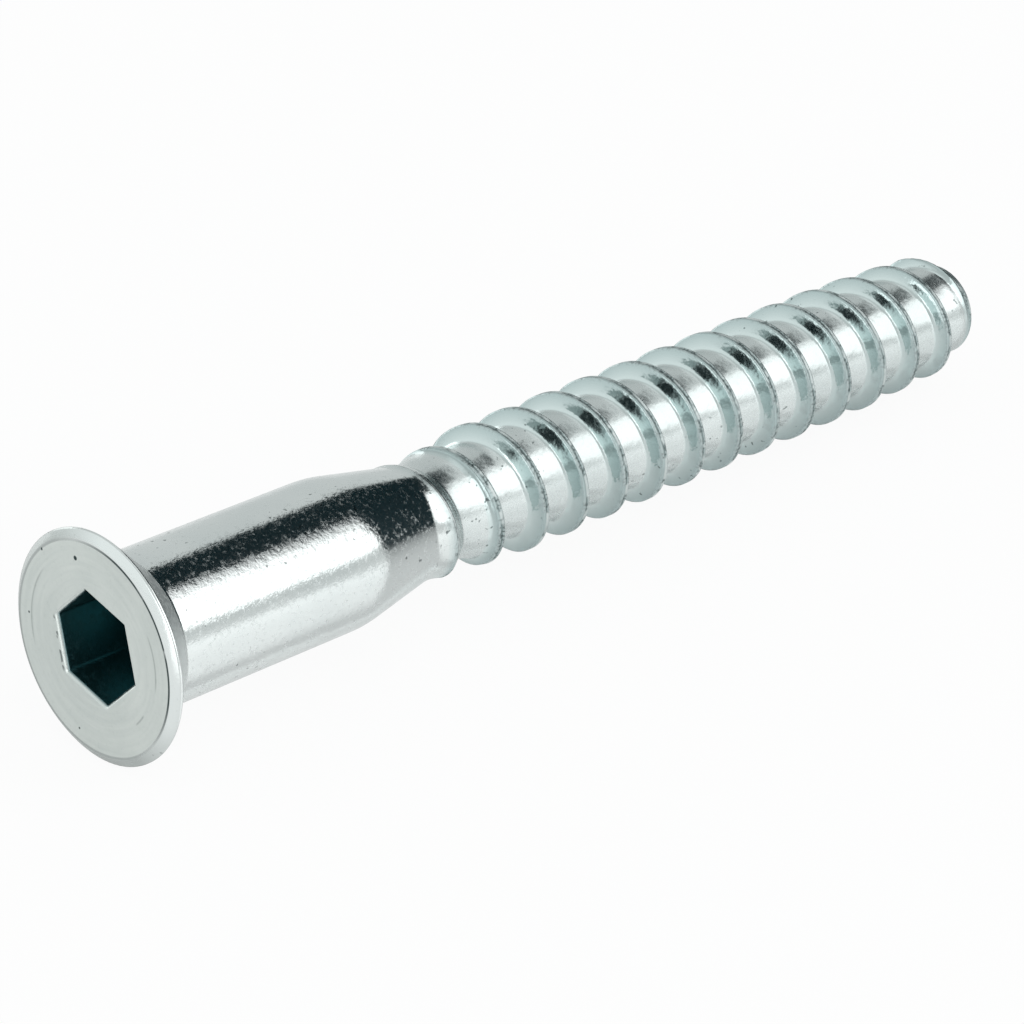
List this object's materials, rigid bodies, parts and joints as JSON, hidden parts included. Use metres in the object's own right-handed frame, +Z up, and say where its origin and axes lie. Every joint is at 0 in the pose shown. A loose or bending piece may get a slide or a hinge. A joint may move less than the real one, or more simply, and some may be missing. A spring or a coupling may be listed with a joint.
{
  "type": "confirmat screw",
  "caption": "Countersunk confirmat screw with a hexagon socket, a thick plain shank and a coarse right-hand thread, for joining chipboard panels edge to face.",
  "frame": {"origin": "centre of the screw's bounding box, on the surface that it lies on", "axes": "+X along the screw from its head to its tip, level with the surface; +Z up"},
  "size_m": [0.0502, 0.0096, 0.0095],
  "materials": {
    "zinc_steel": "bright blue-white zinc plating over rolled and machined steel"
  },
  "bodies": {
    "root": {"confirmat_screw": "zinc_steel"}
  },
  "joints": []
}
